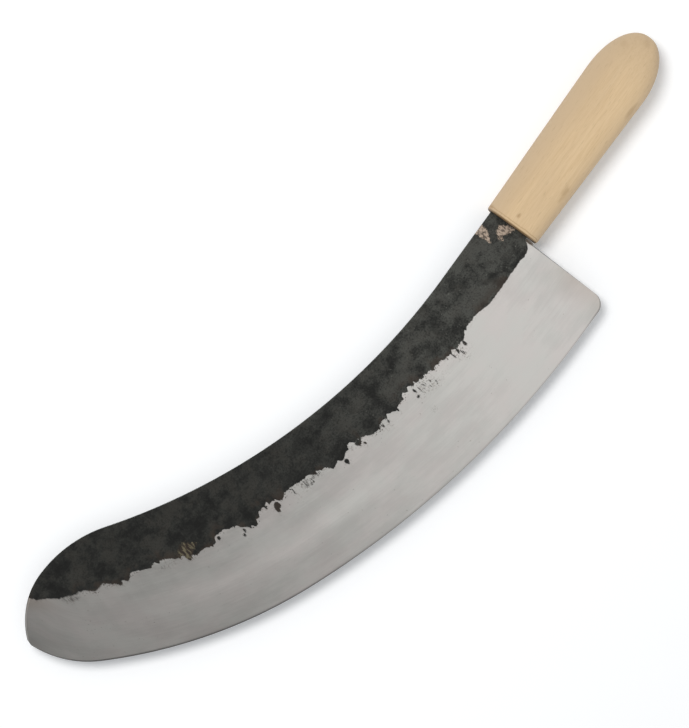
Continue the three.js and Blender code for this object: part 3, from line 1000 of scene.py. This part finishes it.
def ground_surface(steel, at, tones, rough, speck):
    """Brushed steel with a painted sheen along the belly and painted shade, dusty under the scale, stained at
    the nose and darker and warmer by the heel.
    """
    streak = steel.noise(at.flow, 0.8 * MM, 3.0, 0.6, (0.03, 1.0, 0.4))
    haze = steel.noise(at.flow, 10 * MM, 5.0, 0.62, (0.4, 1.0, 0.4))
    tint = steel.noise(at.flow, 14 * MM, 5.0, 0.62, (0.6, 1.0, 0.4))
    polish = steel.sum((streak, 0.25), (haze, 0.75))
    # Painted sheen: a lighter band along the belly and a lighter stretch by the heel, standing in for
    # reflected light
    off_painted_sheen = steel.math("ABSOLUTE", steel.math("SUBTRACT", at.edge, PAINTED_SHEEN_MIDDLE))
    painted_sheen = steel.times(
        steel.remap(at.along, *PAINTED_SHEEN_RISE),
        steel.remap(at.along, *PAINTED_SHEEN_FALL),
        steel.remap(off_painted_sheen, PAINTED_SHEEN_HALF, 0.0, 0.0, -0.15),
    )
    painted_heel_sheen = steel.times(steel.remap(at.along, *PAINTED_HEEL_SHEEN_RISE), steel.remap(at.along, *PAINTED_HEEL_SHEEN_FALL))
    painted_sheen = steel.math("MULTIPLY_ADD", painted_heel_sheen, -0.08, painted_sheen)
    # Darkening of the ground face: real dullness where the brushing is dull, less under the painted sheen,
    # and painted shade towards the toe
    dullness_and_painted_light = steel.math("ADD", steel.remap(polish, 0.36, 0.64, 0.1, 0.0), painted_sheen)
    dullness_and_painted_light = steel.math("ADD", dullness_and_painted_light, steel.remap(at.along, *PAINTED_SHADE_TOE, 0.0, 0.27))

    dusty = steel.remap(speck, 0.5, 0.68, 0.0, 0.5)
    dust = steel.times(steel.remap(at.below, *DUST_REACH), dusty, steel.mix(rough, 0.25, 1.0))
    pit = steel.remap(steel.noise(at.flow, 1.7 * MM, 1.0), 0.75, 0.83, 0.0, 0.4)
    nose = steel.times(steel.remap(at.along, *NOSE_STAIN), steel.remap(at.even, *NOSE_STAIN_DEPTH), 0.35)
    # Warmer and darker by the heel
    heel = steel.times(steel.remap(at.along, *HEEL_WARMTH), steel.remap(at.edge, *HEEL_WARMTH_DEPTH), 0.34)
    # Painted shade: a thin dark line along the cutting edge and the heel's back, darkest at the heel and
    # towards the toe
    rim_shade_ends = steel.math("MAXIMUM", steel.remap(at.along, *HEEL_RIM_SHADE), steel.remap(at.along, *TOE_RIM_SHADE))
    rim = steel.times(steel.remap(at.rim, 1.0 * MM, 0.3 * MM), steel.mix(rim_shade_ends, 0.15, 0.5))

    tone = steel.layer(
        tones.steel,
        (steel.remap(tint, 0.34, 0.66, 0.1, 0.9), tones.warm_steel),
        (dullness_and_painted_light, BLACK),
        (dust, shade(tones.bare, 0.5)),
        (pit, shade(tones.bare, 0.5)),
        (nose, tones.bare),
        (heel, tones.bare),
        (rim, BLACK),
    )
    relief = steel.remap(streak, 0.0, 1.0, 0.48, 0.52)
    return Surface(tone, steel.remap(streak, 0.3, 0.7, 0.34, 0.30), relief)


def forged_steel():
    """Black forge scale over a ground face, with a torn border between the two."""
    tones = bpy.context.scene.cleaver_finish
    steel = Finish("forged_steel")
    at = blade_place(steel)
    ground, rough, speck = torn_border(steel, at)
    scale = scale_surface(steel, at, tones)
    face = ground_surface(steel, at, tones, rough, speck)
    steel.set(
        Base_Color=steel.blend(ground, scale.tone, face.tone),
        Metallic=ground,
        Specular_IOR_Level=0.3,
        Roughness=steel.mix(ground, scale.roughness, face.roughness),
        Normal=steel.bump(steel.mix(ground, scale.relief, face.relief), 0.12 * MM),
    )
    return steel.material


def pale_wood():
    """Bare sanded hardwood with fine short flecks, greyer at one side, painted lighter at the other, scorched
    at the socket's mouth.
    """
    tones = bpy.context.scene.cleaver_finish
    wood = Finish("pale_wood")
    place = wood.knife_place()
    along, across, up = wood.split(place)
    drift = wood.noise(place, 13 * MM, 2.0, 0.5, (0.16, 1.0, 1.0))
    figure = wood.noise(place, 1.7 * MM, 3.0, 0.55, (0.05, 1.0, 1.0), 0.2)
    fibre = wood.noise(place, 0.4 * MM, 2.0, 0.5, (0.06, 1.0, 1.0))
    pore = wood.noise(place, 0.5 * MM, 1.0, 0.4, (0.1, 1.0, 1.0))
    blot = wood.noise(place, 4 * MM, 3.0, 0.6, (0.35, 1.0, 1.0))
    lines = wood.sum((figure, 0.55), (fibre, 0.45))

    stains = []
    ragged = wood.math("MULTIPLY_ADD", blot, 3.0, -1.5)
    on_top = wood.math("GREATER_THAN", up, STAINED_ABOVE)
    for x, y, length, width, strength in WOOD_STAINS:
        reach_x = wood.math("DIVIDE", wood.math("SUBTRACT", along, x * MM), length * MM)
        reach_y = wood.math("DIVIDE", wood.math("SUBTRACT", across, y * MM), width * MM)
        reach = wood.math("ADD", wood.length(wood.join(reach_x, reach_y, 0.0)), ragged)
        stains.append((wood.times(wood.remap(reach, 1.4, 0.2, 0.0, strength), on_top), tones.stain_and_joint_shade))

    wander = wood.math("MULTIPLY_ADD", blot, 1.2 * MM, along)
    front_line = wood.math("ABSOLUTE", wood.math("ADD", wander, 1.0 * MM))
    mouth = wood.length(wood.stretch(place, (0.0, 0.25, 1.0)))
    burnt = wood.math("MULTIPLY_ADD", fibre, 2 * MM, mouth)
    charred = wood.times(wood.remap(burnt, *CHARRED_MOUTH), wood.remap(along, *FRONT_FACE))
    tone = wood.layer(
        tones.wood,
        (wood.remap(lines, 0.36, 0.7, 0.0, 0.7), tones.grain),
        (wood.remap(drift, 0.38, 0.66, 0.0, 0.35), tones.grey_wood),
        (wood.remap(across, *GREY_SIDE), tones.grey_wood),
        # Painted light: a lighter copy of the wood along the grip's right side
        (wood.remap(across, *PAINTED_LIGHT_SIDE, 0.0, 0.5), shade(tones.wood, 1.12)),
        (wood.remap(along, *GREY_BUTT, 0.0, 0.45), tones.grey_wood),
        (wood.remap(pore, 0.62, 0.78, 0.0, 0.32), shade(tones.grain, 0.65)),
        *stains,
        (wood.remap(front_line, 0.45 * MM, 0.1 * MM, 0.0, 0.4), tones.stain_and_joint_shade),
        # Front rim: partly scorch, partly painted shade where the grip meets the blade
        (wood.remap(along, *FRONT_RIM_SCORCH_AND_SHADE, 0.0, 0.75), tones.stain_and_joint_shade),
        (charred, tones.scorch),
    )
    wood.set(
        Base_Color=tone,
        Roughness=wood.remap(fibre, 0.3, 0.7, 0.52, 0.62),
        Normal=wood.bump(lines, 0.08 * MM, 0.5),
    )
    return wood.material


def bedding_resin():
    """Dark brown resin with a faint cloud in it."""
    tones = bpy.context.scene.cleaver_finish
    resin = Finish("bedding_resin")
    cloud = resin.noise(resin.place(), 2 * MM, 3.0)
    resin.set(
        Base_Color=resin.blend(cloud, shade(tones.resin, 0.7), shade(tones.resin, 1.4)),
        Roughness=resin.remap(cloud, 0.3, 0.7, 0.3, 0.5),
    )
    return resin.material


# Stage

FLOOR_TONE = 0.93
FLOOR_LIFT = (0.136, 0.148, 0.160)
KEY_ELEVATION = math.radians(69.5)
SENSOR = 36.0

# What gloss shows of the studio overhead: the side of the picture that it brightens to, and how bright it
# is by how far a ray leans that way; then how bright the walls are, and where they end and overhead begins
GLOSS_LEAN = IMAGE_UP * 0.97 + IMAGE_RIGHT * 0.25
GLOSS_STEPS = ((-0.7, 0.7), (-0.30, 0.02), (-0.06, 1.08), (0.6, 0.9))
GLOSS_WALLS = 0.66
WALL_TOP = 0.55
OVERHEAD = 0.82


def add_floor(stage):
    """A white floor under the grip, square to the camera, that keeps the knife's shadow."""
    bm = bmesh.new()
    under = Matrix.Translation((0, 0, -bpy.context.scene.cleaver_grip.thickness / 2))
    bmesh.ops.create_grid(
        bm, x_segments=1, y_segments=1, size=stage.floor_size / 2, matrix=knife_place() @ under,
    )
    mesh = bpy.data.meshes.new("floor")
    bm.to_mesh(mesh)
    bm.free()
    paper = Finish("white_paper")
    tree = paper.tree
    tree.nodes.remove(paper.surface)
    matt = paper.add("ShaderNodeBsdfDiffuse", {"Color": (FLOOR_TONE, FLOOR_TONE, FLOOR_TONE, 1)})
    seen = paper.add("ShaderNodeLightPath").outputs["Is Camera Ray"]
    glow = paper.add("ShaderNodeEmission", {"Color": (*FLOOR_LIFT, 1), "Strength": seen})
    both = paper.add("ShaderNodeAddShader", {0: matt.outputs[0], 1: glow.outputs[0]})
    tree.links.new(both.outputs[0], tree.nodes["Material Output"].inputs["Surface"])
    mesh.materials.append(paper.material)
    floor = bpy.data.objects.new("floor", mesh)
    bpy.context.scene.collection.objects.link(floor)


def add_sky(stage):
    """Even light from all round; in gloss the studio is darker towards the picture's lower side."""
    world = bpy.data.worlds.new("studio")
    bpy.context.scene.world = world
    world.use_nodes = True
    sky = NodeBench(world.node_tree)
    path = sky.add("ShaderNodeLightPath").outputs
    direction = sky.add("ShaderNodeTexCoord").outputs["Generated"]
    lean = knife_place().to_3x3() @ GLOSS_LEAN
    facing = sky.add("ShaderNodeVectorMath", {0: direction, 1: lean}, operation="DOT_PRODUCT")
    ramp = sky.add("ShaderNodeValToRGB", {"Fac": sky.math("MULTIPLY_ADD", facing.outputs["Value"], 0.5, 0.5)})
    ramp.color_ramp.interpolation = "EASE"
    while len(ramp.color_ramp.elements) < len(GLOSS_STEPS):
        ramp.color_ramp.elements.new(1.0)
    for element, (place, level) in zip(ramp.color_ramp.elements, GLOSS_STEPS):
        element.position = place * 0.5 + 0.5
        element.color = (level, level, level, 1)
    overhead = sky.remap(sky.split(direction)[2], WALL_TOP, OVERHEAD)
    studio = sky.mix(overhead, GLOSS_WALLS, ramp.outputs["Color"])
    for_gloss = sky.mix(path["Is Glossy Ray"], stage.sky_strength, studio)
    strength = sky.mix(path["Is Camera Ray"], for_gloss, 1.0)
    background = sky.tree.nodes["Background"]
    background.inputs["Color"].default_value = (1, 1, 1, 1)
    sky.put(background.inputs["Strength"], strength)


def add_key(stage):
    """A broad soft light from the upper left of the picture."""
    lamp = bpy.data.lights.new("key", "AREA")
    lamp.shape = "DISK"
    lamp.size = stage.key_size
    lamp.energy = stage.key_power
    key = bpy.data.objects.new("key", lamp)
    key.visible_glossy = False
    bpy.context.scene.collection.objects.link(key)
    level = (IMAGE_UP - IMAGE_RIGHT).normalized()
    towards = level * math.cos(KEY_ELEVATION) + Vector((0, 0, math.sin(KEY_ELEVATION)))
    towards.rotate(knife_place())
    key.location = knife_place() @ IMAGE_MIDDLE + towards * stage.key_distance
    key.rotation_euler = towards.to_track_quat("Z", "Y").to_euler()


def add_camera(stage):
    """A camera square to the blade, framed as the photograph is."""
    lens = bpy.data.cameras.new("camera")
    lens.sensor_width = SENSOR
    lens.lens = SENSOR * stage.camera_height / (IMAGE_HEIGHT * PIXEL_SPAN)
    camera = bpy.data.objects.new("camera", lens)
    bpy.context.scene.collection.objects.link(camera)
    bpy.context.scene.camera = camera
    turn = Matrix((IMAGE_RIGHT, IMAGE_UP, (0, 0, 1))).transposed().to_4x4()
    height = Matrix.Translation(IMAGE_MIDDLE + Vector((0, 0, stage.camera_height)))
    camera.matrix_world = knife_place() @ height @ turn


# Operators and panel

class CLEAVER_OT_forged_blade(bpy.types.Operator):
    """Forge the blade: hammered and scaled along its back, ground to the edge, with its tang"""

    bl_idname = "cleaver.forged_blade"
    bl_label = "Forged blade"

    def execute(self, context):
        shape = context.scene.cleaver_blade
        bm = bmesh.new()
        layout = BladeLayout(shape)
        layout.draw_sheet(bm)
        shape_blade(bm, layout)
        bmesh.ops.recalc_face_normals(bm, faces=bm.faces[:])
        draw_tang(bm, shape)
        for name in ("station", "row"):
            bm.verts.layers.float.remove(bm.verts.layers.float[name])
        piece = add_piece(bm, "forged_blade", forged_steel(), BLADE_SHARP)
        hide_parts("blade")
        return {"FINISHED"}


class CLEAVER_OT_wooden_grip(bpy.types.Operator):
    """Turn the grip out of one piece of pale hardwood"""

    bl_idname = "cleaver.wooden_grip"
    bl_label = "Wooden grip"

    def execute(self, context):
        shape = context.scene.cleaver_grip
        bm = draw_grip(shape)
        bmesh.ops.recalc_face_normals(bm, faces=bm.faces[:])
        sand_grip(bm, shape)
        piece = add_piece(bm, "wooden_grip", pale_wood(), GRIP_SHARP)
        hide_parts("handle")
        return {"FINISHED"}


class CLEAVER_OT_tang_bedding(bpy.types.Operator):
    """Give the resin round the tang its finish"""

    bl_idname = "cleaver.tang_bedding"
    bl_label = "Tang bedding"

    def execute(self, context):
        node = frame["nodes"]["tang_bedding"]
        node.data.materials.clear()
        node.data.materials.append(bedding_resin())
        return {"FINISHED"}


class CLEAVER_OT_stage(bpy.types.Operator):
    """Set the white floor, the soft light and the camera over the knife"""

    bl_idname = "cleaver.stage"
    bl_label = "Stage"

    def execute(self, context):
        stage = context.scene.cleaver_stage
        add_floor(stage)
        add_sky(stage)
        add_key(stage)
        add_camera(stage)
        context.scene.view_settings.view_transform = "Standard"
        return {"FINISHED"}


class CLEAVER_PT_parts(bpy.types.Panel):
    """Lists the cleaver's operators"""

    bl_label = "Cleaver"
    bl_idname = "CLEAVER_PT_parts"
    bl_space_type = "VIEW_3D"
    bl_region_type = "UI"
    bl_category = "Cleaver"

    def draw(self, context):
        for operator in OPERATORS:
            self.layout.operator(operator.bl_idname)


# Registration

GROUPS = {
    "cleaver_blade": CleaverBladeShape,
    "cleaver_grip": CleaverGripShape,
    "cleaver_finish": CleaverFinish,
    "cleaver_stage": CleaverStage,
}
OPERATORS = (CLEAVER_OT_forged_blade, CLEAVER_OT_wooden_grip, CLEAVER_OT_tang_bedding, CLEAVER_OT_stage)


def register():
    for group in GROUPS.values():
        bpy.utils.register_class(group)
    for name, group in GROUPS.items():
        setattr(bpy.types.Scene, name, bpy.props.PointerProperty(type=group))
    for cls in (*OPERATORS, CLEAVER_PT_parts):
        bpy.utils.register_class(cls)


def unregister():
    for cls in (CLEAVER_PT_parts, *reversed(OPERATORS)):
        bpy.utils.unregister_class(cls)
    for name, group in GROUPS.items():
        delattr(bpy.types.Scene, name)
        bpy.utils.unregister_class(group)


def main():
    register()
    bpy.ops.cleaver.forged_blade()
    bpy.ops.cleaver.wooden_grip()
    bpy.ops.cleaver.tang_bedding()
    bpy.ops.cleaver.stage()


if __name__ == "__main__":
    main()
